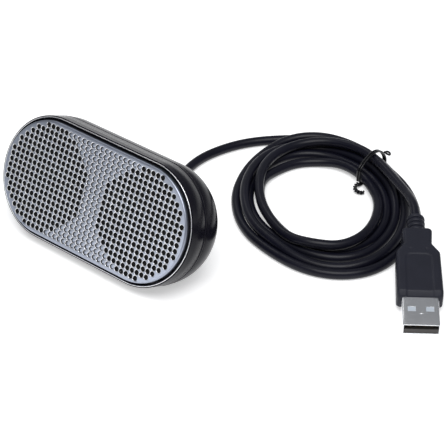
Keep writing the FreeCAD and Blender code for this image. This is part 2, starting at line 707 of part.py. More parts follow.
# Parts on the board: name, across, up the face, length, width, height, side of the board
BOARD_PARTS = [
    ("audio_chip", -3.2, 4.6, 5.0, 5.0, 1.0, "front"),
    ("amplifier_chip", 4.4, 3.8, 5.0, 4.0, 1.1, "front"),
    ("crystal", -2.4, -3.4, 4.6, 2.0, 1.4, "front"),
    ("inductor", 4.6, -3.2, 3.6, 3.6, 1.6, "front"),
]
for name, x, y, length, width, height, board_side in BOARD_PARTS:
    block = box(f"{name}_block", str(length), str(width), str(height), x, y, 0)
    shift = Placement(Vector(0, 0, -size("board_front")), Rotation())
    finish(block, name, FACE * shift * block.Placement)

board_back = size("board_front") + size("board_thick")
for side, x in (("left", -5.6), ("right", 5.6)):
    can = cylinder(f"capacitor_{side}_can", "2.5", "6")
    finish(can, f"capacitor_{side}", on_face(x, 7.4, board_back + 6))

for side, x in (("left", -size("post_offset")), ("right", size("post_offset"))):
    shank = cylinder(f"board_screw_{side}_shank", "Sizes.board_screw_radius", "6.4",
                     z=-size("board_front") - 6.4)
    head = cylinder(f"board_screw_{side}_head", "1.5", "0.8", z=-size("board_front"))
    finish(fuse(f"board_screw_{side}_solid", [shank, head]), f"board_screw_{side}",
           on_face(x, size("board_shift")))

for name, height in (("upper", size("upper_screw")), ("lower", size("lower_screw"))):
    shank = cylinder(f"case_screw_{name}_shank", "Sizes.screw_radius",
                     "Sizes.screw_head_depth - 7.2", z=-size("screw_head_depth"))
    head = cylinder(f"case_screw_{name}_head", "Sizes.screw_head_radius", "1.2",
                    z=-size("screw_head_depth") - 1.2)
    slot_across = box(f"case_screw_{name}_slot", "2.4", "0.5", "0.7",
                      0, 0, -size("screw_head_depth") - 1.4)
    slot_up = box(f"case_screw_{name}_slot_up", "0.5", "2.4", "0.7",
                  0, 0, -size("screw_head_depth") - 1.4)
    blank = fuse(f"case_screw_{name}_blank", [shank, head])
    finish(cut(f"case_screw_{name}_solid", blank, [slot_across, slot_up]),
           f"case_screw_{name}", on_face(0, height))


# -------------------------------------------------------------------- feet

for side, x in (("left", -size("foot_offset")), ("right", size("foot_offset"))):
    blank = box(f"foot_{side}_blank", "Sizes.foot_long", "Sizes.foot_wide", "Sizes.base_height",
                x, size("foot_back"), 0)
    doc.recompute()
    corners = [index for index, edge in enumerate(blank.Shape.Edges, start=1)
               if edge.BoundBox.ZLength > 0.5]
    rounded = doc.addObject("Part::Fillet", f"foot_{side}_rounded")
    rounded.Base = blank
    rounded.Edges = [(index, 3.0, 3.0) for index in corners]
    finish(rounded, f"foot_{side}")


# ------------------------------------------------------------------- cables

def rounded_path(points, label):
    """Straight runs through the points, joined by tangent arcs as large as they allow."""
    count = len(points)
    arcs, edges = [], []
    for i in range(1, count - 1):
        before, after = points[i - 1] - points[i], points[i + 1] - points[i]
        turn = math.pi - before.getAngle(after)
        setback = 0.45 * min(before.Length, after.Length)
        radius = setback / math.tan(turn / 2)
        start = points[i] + before.normalize() * setback
        end = points[i] + after.normalize() * setback
        inwards = (before + after).normalize()
        centre = points[i] + inwards * (radius / math.cos(turn / 2))
        middle = centre - inwards * radius
        arcs.append((start, middle, end))
        print(label, "bend", i, "radius", round(radius, 1), "turn", round(math.degrees(turn), 1))
    here = points[0]
    for start, middle, end in arcs:
        edges.append(Part.LineSegment(here, start).toShape())
        edges.append(Part.Arc(start, middle, end).toShape())
        here = end
    edges.append(Part.LineSegment(here, points[-1]).toShape())
    return Part.Wire(edges)


def tube(label, points, radius):
    """A round cable along a rounded path."""
    path = rounded_path(points, label)
    start_direction = path.Edges[0].tangentAt(path.Edges[0].FirstParameter)
    ring = Part.Wire([Part.Circle(points[0], start_direction, radius).toShape()])
    solid = path.makePipeShell([ring], True, False)
    section_volume = math.pi * radius ** 2 * path.Length
    print(label, "length", round(path.Length, 1), "volume", round(solid.Volume, 1),
          "section x length", round(section_volume, 1))
    feature = doc.addObject("Part::Feature", label + "_shape")
    feature.Shape = solid
    return finish(feature, label)


# Strain relief through the back wall: inner flange, neck and outer boot.
finish(turned("strain_relief_body", [
    ("0", "-Sizes.cavity_depth + 0.8"),
    ("Sizes.relief_flange", "-Sizes.cavity_depth + 0.8"),
    ("Sizes.relief_flange", "-Sizes.cavity_depth"),
    ("Sizes.outlet_radius - 0.05", "-Sizes.cavity_depth"),
    ("Sizes.outlet_radius - 0.05", "-Sizes.back_depth"),
    ("Sizes.relief_base", "-Sizes.back_depth"),
    ("Sizes.relief_tip", "-Sizes.relief_end"),
    ("0", "-Sizes.relief_end"),
]), "strain_relief", FACE)

inner_cable = cylinder("usb_lead_inside_shape", "Sizes.cable_diameter / 2 - 0.25",
                       "Sizes.cavity_depth - 0.8 - Sizes.board_front - Sizes.board_thick")
finish(inner_cable, "usb_lead_inside", on_face(0, 0, size("cavity_depth") - 0.8))

for side, direction in (("left", -1), ("right", 1)):
    lead = [Vector(direction * 8.0, -5.6, -14.0), Vector(direction * 8.0, -5.6, -12.2),
            Vector(direction * 9.6, -5.9, -11.6), Vector(direction * 10.6, -6.0, -10.6)]
    tube(f"speaker_wire_{side}", [FACE.multVec(point) for point in lead], 0.35)

# The cable leaves the back low, dips to the table and swings round to the coil.
cable_radius = size("cable_diameter") / 2
RUN = [
    FACE.multVec(Vector(0, 0, -size("relief_end"))),
    FACE.multVec(Vector(0, 0, -size("relief_end") - 11.0)),
    Vector(-4.6, 40.5, 1.9),
    Vector(-10.4, 49.0, 1.8),
    Vector(-11.9, 59.5, 1.8),
    Vector(-9.9, 70.0, 1.8),
    Vector(-5.6, 79.8, 1.8),
    Vector(2.0, 88.4, 2.2),
    Vector(11.0, 94.2, 3.0),
]
tube("usb_cable_run", RUN, cable_radius)

# Spare cable, coiled: one oval ring that the turns lie inside.
coil_turn = Placement(Vector(size("coil_x"), size("coil_y"), 0),
                      Rotation(Vector(0, 0, 1), size("coil_turned")))
rings = []
for name, long_half, short_half in (("coil_outside", "Sizes.coil_long", "Sizes.coil_short"),
                                    ("coil_hole", "Sizes.coil_hole_long",
                                     "Sizes.coil_hole_short")):
    oval = doc.addObject("Part::Ellipse", f"{name}_oval")
    oval.setExpression("MajorRadius", long_half)
    oval.setExpression("MinorRadius", short_half)
    raised = doc.addObject("Part::Extrusion", name)
    raised.Base = oval
    raised.DirMode = "Custom"
    raised.Dir = Vector(0, 0, 1)
    raised.setExpression("LengthFwd", "Sizes.coil_height")
    raised.Solid = True
    rings.append(raised)
plug_room = box("plug_room", "13", "26", "20", 0, -30, -4.4)
plug_room.Placement = coil_turn.inverse() * PLUG * plug_room.Placement
finish(cut("coil_ring", rings[0], [rings[1], plug_room]), "usb_cable_coil", coil_turn)

# Tail: from the coil's top down to the plug.
BOOT_END = PLUG.multVec(Vector(0, -size("mould_long") - 4 * size("boot_pitch"), 0))
nose = PLUG.Rotation.multVec(Vector(0, 1, 0))
TAIL = [
    BOOT_END,
    BOOT_END - nose * 6.0,
    Vector(71.1, 76.8, 11.4),
    Vector(66.4, 80.8, 9.2),
]
tube("usb_cable_tail", TAIL, cable_radius)


# ---------------------------------------------------------------- twist tie

# A thin wire loop round the bundle, with its two ends twisted together inside the coil.
TIE_LOOP = [
    Vector(43.4, 83.7, 5.0),
    Vector(43.4, 83.7, 11.2),
    Vector(42.8, 101.3, 11.2),
    Vector(42.8, 101.3, 0.55),
    Vector(43.4, 83.7, 0.55),
    Vector(43.6, 82.1, 3.6),
    Vector(45.2, 77.7, 2.4),
]
tube("twist_tie", TIE_LOOP, size("tie_diameter") / 2)


# --------------------------------------------------------------------- plug

shell = new_body("shell_body")
outline = sketch_on(shell, "shell_outline", "XZ_Plane", height="Sizes.shell_in")
half_wide, half_tall = "Sizes.shell_wide / 2", "Sizes.shell_tall / 2"
add_polygon(outline, [(half_wide, half_tall), ("-" + half_wide, half_tall),
                      ("-" + half_wide, "-" + half_tall), (half_wide, "-" + half_tall)])
shell_block = pad(shell, "shell_block", outline, "Sizes.shell_in + Sizes.shell_out",
                  backwards=True)
inside = sketch_on(shell, "shell_inside", "XZ_Plane", height="-Sizes.shell_out")
inner_wide = "(Sizes.shell_wide / 2 - Sizes.shell_wall)"
inner_tall = "(Sizes.shell_tall / 2 - Sizes.shell_wall)"
add_polygon(inside, [(inner_wide, inner_tall), ("-" + inner_wide, inner_tall),
                     ("-" + inner_wide, "-" + inner_tall), (inner_wide, "-" + inner_tall)])
pocket(shell, "shell_mouth", inside, "Sizes.shell_in + Sizes.shell_out", forwards=True)
doc.recompute()
windows = []
for name, side in (("left", -1), ("right", 1)):
    windows.append(box(f"latch_window_{name}", "Sizes.latch_wide", "Sizes.latch_long",
                       "Sizes.shell_tall + 2", side * size("latch_offset"),
                       size("latch_centre"), -size("shell_tall") / 2 - 1))
finish(cut("shell_cut", shell, windows), "plug_shell", PLUG)

mould = new_body("mould_body")
outline = sketch_on(mould, "mould_outline")
right_side = [
    ("Sizes.front_half", "0"),
    ("Sizes.shoulder_half", "-Sizes.shoulder_back"),
    ("Sizes.waist_half", "-Sizes.waist_back"),
    ("Sizes.neck_half", "-Sizes.neck_back"),
    ("Sizes.neck_end_half", "-Sizes.mould_long"),
]
left_side = [("-" + across, along) for across, along in reversed(right_side)]
add_polygon(outline, right_side + left_side)
mould_block = pad(mould, "mould_block", outline, "Sizes.mould_thick", midplane=True)
doc.recompute()
front_edges = []
for index, edge in enumerate(mould_block.Shape.Edges, start=1):
    bounds = edge.BoundBox
    if bounds.YMin > -0.01 and bounds.ZLength < 0.01:
        front_edges.append(f"Edge{index}")
bevel = mould.newObject("PartDesign::Chamfer", "mould_bevel_cut")
bevel.Base = (mould_block, front_edges)
bevel.setExpression("Size", "Sizes.mould_bevel")
doc.recompute()
shell_room = box("shell_room", "Sizes.shell_wide", "Sizes.shell_in + 2", "Sizes.shell_tall",
                 0, -size("shell_in") / 2 + 1, -size("shell_tall") / 2)
finish(cut("mould_cut", mould, [shell_room]), "plug_overmould", PLUG)

insulator = box("insulator_block", "Sizes.tongue_wide",
                "Sizes.shell_in + Sizes.shell_out - 0.6", "Sizes.tongue_thick",
                0, (size("shell_out") - size("shell_in")) / 2,
                -size("shell_tall") / 2 + size("shell_wall"))
finish(insulator, "plug_insulator", PLUG * insulator.Placement)

contact_floor = -size("shell_tall") / 2 + size("shell_wall") + size("tongue_thick")
for index, across in enumerate((-3.5, -1.0, 1.0, 3.5), start=1):
    strip = box(f"contact_{index}_strip", "Sizes.contact_wide", "Sizes.contact_long",
                "Sizes.contact_thick", across,
                size("shell_out") - 1.4 - size("contact_long") / 2, contact_floor)
    finish(strip, f"plug_contact_{index}", PLUG * strip.Placement)

# Ribbed boot where the cable enters the plug: rings with narrow necks between them.
boot_section = [("0", "-Sizes.mould_long")]
for index in range(4):
    start = f"-Sizes.mould_long - {index} * Sizes.boot_pitch"
    boot_section += [
        ("Sizes.boot_core", f"{start}"),
        ("Sizes.boot_core", f"{start} - 0.5"),
        ("Sizes.boot_ring - %.2f" % (0.12 * index), f"{start} - 0.7"),
        ("Sizes.boot_ring - %.2f" % (0.12 * index), f"{start} - 1.8"),
    ]
boot_section += [
    ("Sizes.boot_core", "-Sizes.mould_long - 4 * Sizes.boot_pitch"),
    ("0", "-Sizes.mould_long - 4 * Sizes.boot_pitch"),
]
finish(turned("boot_body", boot_section, "XY_Plane"), "plug_boot", PLUG)


# -------------------------------------------------------- check and write out

doc.recompute()
broken = []
for item in doc.Objects:
    if "Invalid" in item.State or "Error" in item.State:
        broken.append(item.Label)
for piece in parts:
    shape = piece.Shape
    if shape.isNull() or not shape.isValid() or len(shape.Solids) != 1:
        broken.append(f"{piece.Label} (solids {0 if shape.isNull() else len(shape.Solids)})")
if broken:
    raise RuntimeError("not sound: " + ", ".join(broken))

os.makedirs("parts", exist_ok=True)
for piece in parts:
    piece.Shape.exportStep(f"parts/{piece.Label}.step")
print(len(parts), "sub-parts written")
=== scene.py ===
"""Looks of a small USB speaker bar and its coiled cable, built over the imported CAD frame.

Lengths in the tables are millimetres; everything is turned into metres when it is placed.
"""
import math

import bmesh
import bpy
from mathutils import Matrix, Vector


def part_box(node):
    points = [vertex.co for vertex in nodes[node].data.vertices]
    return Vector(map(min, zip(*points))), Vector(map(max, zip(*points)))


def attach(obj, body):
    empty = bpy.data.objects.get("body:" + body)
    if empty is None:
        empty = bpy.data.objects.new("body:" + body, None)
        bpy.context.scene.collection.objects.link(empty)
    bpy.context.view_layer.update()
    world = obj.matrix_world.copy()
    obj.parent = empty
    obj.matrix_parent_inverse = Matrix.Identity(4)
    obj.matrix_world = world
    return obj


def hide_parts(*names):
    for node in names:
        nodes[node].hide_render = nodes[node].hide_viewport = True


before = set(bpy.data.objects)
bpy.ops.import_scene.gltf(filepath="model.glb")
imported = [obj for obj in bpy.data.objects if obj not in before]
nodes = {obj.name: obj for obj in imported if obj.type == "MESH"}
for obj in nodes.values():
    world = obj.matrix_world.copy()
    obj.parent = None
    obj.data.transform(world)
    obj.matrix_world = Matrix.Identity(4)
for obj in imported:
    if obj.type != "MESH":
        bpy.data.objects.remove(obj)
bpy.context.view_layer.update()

MM = 0.001
ROOT = "speaker"
scene = bpy.context.scene


# ------------------------------------------------------------------ frames

def placing(origin, across, along, outward):
    """Matrix that takes millimetres in a local frame to metres in the part's frame."""
    turn = Matrix((across, along, outward)).transposed().to_4x4()
    return Matrix.Translation(Vector(origin) * MM) @ turn @ Matrix.Diagonal((MM, MM, MM, 1))


RELIEF_END = 34.1
BOOT_LONG = 39
LEAN = math.radians(24.8)
FACE_OUT = Vector((0, -math.cos(LEAN), math.sin(LEAN)))
FACE_UP = Vector((0, math.sin(LEAN), math.cos(LEAN)))
FACE_MIDDLE = Vector((0, -9.83, 23.6))
FACE = placing(FACE_MIDDLE, (1, 0, 0), FACE_UP, FACE_OUT)

YAW, DIP = math.radians(-142.5), math.radians(10)
NOSE = Vector((-math.sin(YAW) * math.cos(DIP), math.cos(YAW) * math.cos(DIP), -math.sin(DIP)))
PLUG_ACROSS = Vector((math.cos(YAW), math.sin(YAW), 0))
PLUG_UP = PLUG_ACROSS.cross(NOSE)
MOULD_FRONT = Vector((102.57, 35.99, 4.42))
PLUG = placing(MOULD_FRONT, PLUG_ACROSS, NOSE, PLUG_UP)
BOOT_END = MOULD_FRONT - NOSE * BOOT_LONG


# ------------------------------------------------------------------ camera

camera_data = bpy.data.cameras.new("camera")
camera_data.sensor_width = 36
camera_data.lens = 136.035
camera = bpy.data.objects.new("camera", camera_data)
scene.collection.objects.link(camera)
CAMERA_RIGHT = Vector((0.76508, 0.64393, 0))
CAMERA_BACK = Vector((0.53116, -0.63109, 0.56533)).normalized()
CAMERA_UP = CAMERA_BACK.cross(CAMERA_RIGHT)
camera.matrix_world = (Matrix.Translation((0.33694, -0.34133, 0.33651)) @
                       Matrix((CAMERA_RIGHT, CAMERA_UP, CAMERA_BACK)).transposed().to_4x4())
scene.camera = camera


# --------------------------------------------------------------- materials

def material(name, colour, rough, metal=0.0, mottle=0.12, patch=90, grain=2600, bump=0.05,
             rough_spread=0.08, stretch=(1, 1, 1), **sockets):
    """A finish with uneven colour and gloss, and a fine raised grain, all procedural."""
    made = bpy.data.materials.new(name)
    made.use_nodes = True
    tree = made.node_tree
    shader = tree.nodes["Principled BSDF"]
    shader.inputs["Metallic"].default_value = metal
    for socket, value in sockets.items():
        shader.inputs[socket.replace("_", " ")].default_value = value

    place = tree.nodes.new("ShaderNodeTexCoord")
    scaling = tree.nodes.new("ShaderNodeMapping")
    scaling.inputs["Scale"].default_value = stretch
    tree.links.new(place.outputs["Object"], scaling.inputs["Vector"])

    def noise(scale, detail):
        texture = tree.nodes.new("ShaderNodeTexNoise")
        texture.inputs["Scale"].default_value = scale
        texture.inputs["Detail"].default_value = detail
        tree.links.new(scaling.outputs["Vector"], texture.inputs["Vector"])
        return texture

    patches, grains = noise(patch, 5), noise(grain, 3)
    tint = tree.nodes.new("ShaderNodeValToRGB")
    tint.color_ramp.elements[0].position = 0.3
    tint.color_ramp.elements[1].position = 0.7
    tint.color_ramp.elements[0].color = [c * (1 - mottle) for c in colour] + [1]
    tint.color_ramp.elements[1].color = [min(c * (1 + mottle), 1) for c in colour] + [1]
    tree.links.new(patches.outputs["Fac"], tint.inputs["Fac"])
    tree.links.new(tint.outputs["Color"], shader.inputs["Base Color"])

    gloss = tree.nodes.new("ShaderNodeMapRange")
    gloss.inputs["To Min"].default_value = max(rough - rough_spread, 0.02)
    gloss.inputs["To Max"].default_value = min(rough + rough_spread, 1)
    gloss.inputs["From Min"].default_value = 0.3
    gloss.inputs["From Max"].default_value = 0.7
    tree.links.new(grains.outputs["Fac"], gloss.inputs["Value"])
    tree.links.new(gloss.outputs["Result"], shader.inputs["Roughness"])

    relief = tree.nodes.new("ShaderNodeBump")
    relief.inputs["Strength"].default_value = bump
    relief.inputs["Distance"].default_value = 0.0001
    tree.links.new(grains.outputs["Fac"], relief.inputs["Height"])
    tree.links.new(relief.outputs["Normal"], shader.inputs["Normal"])
    return made


def woven(made, threads):
    """Adds crossing threads to a finish, as in woven cloth."""
    tree = made.node_tree
    shader = tree.nodes["Principled BSDF"]
    place = tree.nodes["Texture Coordinate"]
    waves = []
    for direction in ("X", "Z"):
        wave = tree.nodes.new("ShaderNodeTexWave")
        wave.bands_direction = direction
        wave.inputs["Scale"].default_value = threads
        wave.inputs["Distortion"].default_value = 0.6
        tree.links.new(place.outputs["Object"], wave.inputs["Vector"])
        waves.append(wave)
    both = tree.nodes.new("ShaderNodeMath")
    both.operation = "MAXIMUM"
    for wave, socket in zip(waves, both.inputs):
        tree.links.new(wave.outputs["Fac"], socket)
    weave = tree.nodes.new("ShaderNodeBump")
    weave.inputs["Strength"].default_value = 0.7
    weave.inputs["Distance"].default_value = 0.0001
    tree.links.new(both.outputs[0], weave.inputs["Height"])
    tree.links.new(weave.outputs["Normal"], shader.inputs["Normal"])
    return made


gloss_black = material("gloss_black_plastic", (0.0045, 0.0042, 0.0085), 0.22, mottle=0.15, patch=60,
                       grain=1400, bump=0.015, rough_spread=0.03, Specular_IOR_Level=0.08)
grille_silver = material("satin_silver", (0.33, 0.36, 0.43), 0.38, metal=1.0, mottle=0.07,
                         patch=45, grain=5200, bump=0.10, rough_spread=0.07)
# Painted highlight: a near-white metal on the narrow chamfer round each hole, standing in for the
# light those edges catch.
painted_rim_highlight = material("painted_rim_highlight", (0.95, 0.95, 0.96), 0.32, metal=1.0, mottle=0.06,
                        patch=300, grain=5200, bump=0.10, rough_spread=0.05)
bright_trim = material("bright_trim", (0.93, 0.93, 0.94), 0.30, metal=1.0, mottle=0.03,
                       grain=2400, bump=0.02, rough_spread=0.04)
jacket = material("cable_jacket", (0.0050, 0.0052, 0.0115), 0.34, mottle=0.20, patch=70,
                  grain=1900, bump=0.12, rough_spread=0.05, Specular_IOR_Level=0.22)
mould_plastic = material("overmould_plastic", (0.0130, 0.0140, 0.0230), 0.48, mottle=0.12,
                         patch=120, grain=3800, bump=0.30, rough_spread=0.06,
                         Specular_IOR_Level=0.25)
# Painted shade: a near-black finish on the walls of the holes and on the bottoms of the dimple
# moats, where shade falls.
painted_hole_shade = material("painted_hole_shade", (0.020, 0.021, 0.024), 0.55, patch=300, grain=3000, bump=0.2)
nickel = material("nickel_plate", (0.80, 0.81, 0.83), 0.24, metal=1.0, mottle=0.03, patch=220,
                  grain=5200, bump=0.02, rough_spread=0.04)
tie_coating = material("tie_coating", (0.004, 0.004, 0.006), 0.22, grain=1200, bump=0.06,
                       rough_spread=0.05, Specular_IOR_Level=0.3)
rubber = material("soft_rubber", (0.014, 0.014, 0.015), 0.68, grain=2600, bump=0.35)
foam = material("foam", (0.020, 0.020, 0.022), 0.95, grain=1500, bump=0.8, patch=400)
dust_weave = woven(material("dust_weave", (0.006, 0.006, 0.007), 0.9, grain=3000), 900)
steel = material("plain_steel", (0.52, 0.53, 0.55), 0.30, metal=1.0, grain=1800, bump=0.08)
ferrite = material("magnet_ferrite", (0.045, 0.045, 0.050), 0.60, grain=2200, bump=0.4)
copper = material("coil_copper", (0.72, 0.30, 0.14), 0.30, metal=1.0, grain=900, bump=0.4,
                  stretch=(1, 6, 1))
paper = material("cone_paper", (0.025, 0.024, 0.024), 0.85, patch=300, grain=1300, bump=0.5)
board_green = material("board_green", (0.010, 0.095, 0.035), 0.35, mottle=0.3, patch=260,
                       grain=1500, bump=0.1, Coat_Weight=0.4)
chip_black = material("chip_plastic", (0.022, 0.022, 0.024), 0.5, grain=3500, bump=0.3)
can_metal = material("can_metal", (0.62, 0.63, 0.65), 0.28, metal=1.0, grain=1500, bump=0.06)
pale_insulator = material("pale_insulator", (0.46, 0.51, 0.57), 0.45, mottle=0.05, grain=1800,
                          bump=0.02)
tongue_plastic = material("insulator_plastic", (0.035, 0.031, 0.029), 0.45, grain=2400, bump=0.1)
gold = material("contact_gold", (0.83, 0.58, 0.24), 0.20, metal=1.0, grain=1800, bump=0.04)

# The finish of each CAD node that stays, by the start of its name.
KEPT = (
    ("rear_shell", gloss_black), ("dust_cloth", dust_weave), ("gasket", foam),
    ("basket", steel), ("pole_plate", steel), ("yoke", steel), ("magnet", ferrite),
    ("spider", dust_weave), ("surround", rubber), ("voice_coil", copper), ("cone", paper),
    ("dust_cap", paper), ("circuit_board", board_green), ("amplifier_chip", chip_black),
    ("audio_chip", chip_black), ("crystal", can_metal), ("inductor", ferrite),
    ("capacitor", can_metal), ("board_screw", steel), ("case_screw", steel),
    ("speaker_wire", jacket), ("usb_lead_inside", jacket),
    ("plug_insulator", tongue_plastic), ("plug_contact", gold),
)
for name, node in nodes.items():
    for start, finish in KEPT:
        if name.startswith(start):
            if not node.material_slots:
                node.data.materials.append(finish)
            for place in node.material_slots:
                place.material = finish


# ------------------------------------------------------------ mesh helpers

def place_mesh(name, mesh_code, matrix, finish, material_slot, *stands_for, sharp=40):
    """Turns mesh code into a piece on the speaker's body."""
    mesh_code.transform(matrix)
    bmesh.ops.remove_doubles(mesh_code, verts=mesh_code.verts, dist=1e-7)
    bmesh.ops.recalc_face_normals(mesh_code, faces=mesh_code.faces)
    mesh = bpy.data.meshes.new(name)
    mesh_code.to_mesh(mesh)
    mesh_code.free()
    for face in mesh.polygons:
        face.use_smooth = True
    mesh.set_sharp_from_angle(angle=math.radians(sharp))
    piece = bpy.data.objects.new(name, mesh)
    scene.collection.objects.link(piece)
    mesh.materials.append(finish)
    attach(piece, ROOT)
    if stands_for:
        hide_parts(*stands_for)
    return piece


def arc(centre_r, centre_depth, radius, start, end, steps=5):
    """Points on an arc in a half section; angles in degrees, 0 outwards, 90 deeper."""
    return [(centre_r + radius * math.cos(math.radians(start + (end - start) * i / steps)),
             centre_depth + radius * math.sin(math.radians(start + (end - start) * i / steps)))
            for i in range(steps + 1)]


def sew(code, rings, closed=False):
    """Joins rings of points, each a list as long as the next, with quads."""
    made = [[code.verts.new(point) for point in ring] for ring in rings]
    pairs = list(zip(made, made[1:]))
    if closed:
        pairs.append((made[-1], made[0]))
    for one, two in pairs:
        for i in range(len(one)):
            j = (i + 1) % len(one)
            code.faces.new((one[i], one[j], two[j], two[i]))
    return made


CAP_CENTRE = 21.1
CAP_STEPS = 48


def stadium(radius, depth):
    """Racetrack ring in the face frame."""
    ring = []
    for side in (1, -1):
        for i in range(CAP_STEPS + 1):
            angle = math.pi * (i / CAP_STEPS - 0.5) + (0 if side > 0 else math.pi)
            ring.append((side * CAP_CENTRE + radius * math.cos(angle),
                         radius * math.sin(angle), -depth))
    return ring


def round_ring(radius, height, centre=(0, 0), steps=48):
    """Circle of points round a centre, at one height."""
    return [(centre[0] + radius * math.cos(2 * math.pi * i / steps),
             centre[1] + radius * math.sin(2 * math.pi * i / steps), height)
            for i in range(steps)]


def fill_between(code, loops):
    """Fills the flat region bounded by loops of vertices."""
    edges = []
    for loop in loops:
        for i, vert in enumerate(loop):
            other = loop[(i + 1) % len(loop)]
            edge = code.edges.get((vert, other)) or code.edges.new((vert, other))
            edges.append(edge)
    bmesh.ops.triangle_fill(code, use_beauty=True, edges=edges)


# ------------------------------------------------------------- USB cable

CABLE = 3.5
RUN = [
    FACE_MIDDLE - FACE_OUT * RELIEF_END, FACE_MIDDLE - FACE_OUT * (RELIEF_END + 11.0),
    (-4.6, 40.5, 1.9), (-10.4, 49.0, 1.8), (-11.9, 59.5, 1.8), (-9.9, 70.0, 1.8),
    (-5.6, 79.8, 1.8), (2.4, 89.2, 1.8),
]
# Coil: oval of the outermost turn, and for each point its share of the oval and its height.
COIL_MIDDLE = (40.9, 64.7)
COIL_LONG, COIL_SHORT = 43.5, 29.9
COIL_TURNED = math.radians(138.5)
TURN_START, TURN_STEP = 16.0, 23.9355
# The pairs are the output of separate fitting programs, except for the last three, which
# were set by hand.
TURNS = [
    (1.003, 1.80), (1.009, 1.80), (1.013, 1.80), (1.076, 1.80), (1.092, 1.80), (1.018, 1.80),
    (1.016, 1.80), (0.994, 1.80), (0.981, 1.80), (0.975, 1.80), (1.038, 1.80), (1.021, 1.80),
    (0.968, 1.80), (0.960, 1.80), (0.959, 3.92), (0.954, 4.73), (0.939, 4.95), (0.951, 4.60),
    (0.981, 3.78), (0.953, 3.78), (0.945, 3.67), (0.924, 2.53), (0.907, 1.80), (0.887, 1.80),
    (0.889, 3.59), (0.947, 4.11), (0.920, 5.01), (0.878, 4.93), (0.870, 4.10), (0.865, 3.04),
    (0.853, 1.80), (0.838, 3.21), (0.837, 4.58), (0.866, 3.93), (0.850, 1.82), (0.807, 1.80),
    (0.797, 1.80), (0.777, 1.80), (0.759, 1.80), (0.771, 1.80), (0.840, 1.80), (0.872, 1.80),
    (0.841, 1.80), (0.803, 1.80), (0.778, 1.80), (0.762, 1.80), (0.750, 1.80), (0.771, 1.80),
    (0.775, 1.80), (0.736, 1.80), (0.715, 2.16), (0.685, 1.80), (0.668, 1.80), (0.665, 1.80),
    (0.670, 1.80), (0.671, 1.80), (0.721, 1.80), (0.751, 2.50), (0.671, 1.80), (0.642, 1.80),
    (0.633, 1.80), (0.659, 2.94), (0.674, 2.70), (0.662, 2.58), (0.641, 4.36), (0.644, 4.82),
    (0.681, 5.40), (0.704, 4.94), (0.734, 5.91), (0.770, 4.90), (0.740, 5.22), (0.738, 5.06),
    (0.752, 6.13), (0.777, 5.41), (0.799, 5.04), (0.820, 5.80), (0.843, 6.90), (0.862, 8.00),
]
TAIL = [(65.6, 79.8, 9.8), (70.8, 75.4, 11.3), BOOT_END - NOSE * 5.5, BOOT_END]


def coil_point(turned, share, height):
    """A control point of the coil, a little outside the line it makes."""
    swell = 1 / math.cos(math.radians(TURN_STEP / 2)) ** 0.85
    along = COIL_LONG * share * swell * math.cos(turned)
    across = COIL_SHORT * share * swell * math.sin(turned)
    c, s = math.cos(COIL_TURNED), math.sin(COIL_TURNED)
    return (COIL_MIDDLE[0] + along * c + across * s,
            COIL_MIDDLE[1] + along * s - across * c, height)


route = [Vector(point) for point in RUN]
for i, (share, height) in enumerate(TURNS):
    route.append(Vector(coil_point(math.radians(TURN_START + i * TURN_STEP), share, height)))
route += [Vector(point) for point in TAIL]

cable_curve = bpy.data.curves.new("usb_cable", "CURVE")
cable_curve.dimensions = "3D"
spline = cable_curve.splines.new("NURBS")
spline.points.add(len(route) - 1)
for point, control in zip(spline.points, route):
    point.co = (*(control * MM), 1)
spline.order_u = 3
spline.use_endpoint_u = True
spline.resolution_u = 8
cable_curve.bevel_depth = CABLE / 2 * MM
cable_curve.bevel_resolution = 6
cable_curve.use_fill_caps = True
cable_curve.materials.append(jacket)
cable = bpy.data.objects.new("usb_cable", cable_curve)
scene.collection.objects.link(cable)
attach(cable, ROOT)
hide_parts("usb_cable_run", "usb_cable_coil", "usb_cable_tail")


# ---------------------------------------------------------- strain relief

relief = bmesh.new()
section = [(0.3, 24.5), (3.5, 24.5), (3.5, 25.3), (2.55, 25.3), (2.55, 27.15), (3.05, 27.15)]
section += arc(2.95, 27.45, 0.25, -60, 30, 3)
RELIEF_RIBS = 4
for rib in range(RELIEF_RIBS):
    start = 27.9 + rib * 1.5
    wide = 3.0 - 0.12 * rib
    section += [(wide - 0.02, start), (wide, start + 0.2), (wide - 0.03, start + 0.75),
                (wide - 0.12, start + 0.9), (wide - 0.42, start + 1.0), (wide - 0.42, start + 1.3),
                (wide - 0.16, start + 1.42)]
section += [(2.5, 33.95), (2.44, 34.08), (2.30, 34.1), (1.70, 34.1), (0.3, 34.1)]
sew(relief, [round_ring(radius, -depth, steps=40) for radius, depth in section], closed=True)
relief_boot = place_mesh("cable_outlet_boot", relief, FACE, rubber, "soft_rubber", "strain_relief")


# ------------------------------------------------------------ grille plate

PITCH = 2.07
HOLE = 0.92
HOLE_FIELD = 18.2
PLATE = 19.8
PLATE_EDGE = 0.6
PLATE_THICK = 0.6
SKIRT_END = 3.55
CELL_STEPS = 16
# The field of holes, counted in pitches from the middle of the plate.
COLUMNS, LINES = 19, 9
ENDS_FROM, FIELD_RADIUS, DRIVER_AT = 10.2, 8.9, 10.5
# Half sections from a hole's front edge inwards: radius and depth.
THROUGH = [(HOLE + 0.10, 0), (HOLE + 0.04, 0.02), (HOLE, 0.06), (HOLE, 0.16),
           (HOLE + 0.10, 0.30), (HOLE + 0.12, PLATE_THICK)]
DIMPLE = [(HOLE + 0.10, 0), (HOLE + 0.04, 0.02), (HOLE, 0.06), (HOLE - 0.01, 0.42),
          (HOLE - 0.08, 0.46), (HOLE - 0.17, 0.36), (HOLE - 0.26, 0.33)]


def cell_border(x, y, depth):
    """The square round one hole, with points in line with the hole's own."""
    border = []
    for i in range(CELL_STEPS):
        angle = 2 * math.pi * i / CELL_STEPS
        c, s = math.cos(angle), math.sin(angle)
        reach = PITCH / 2 / max(abs(c), abs(s))
        border.append((x + c * reach, y + s * reach, -depth))
    return border


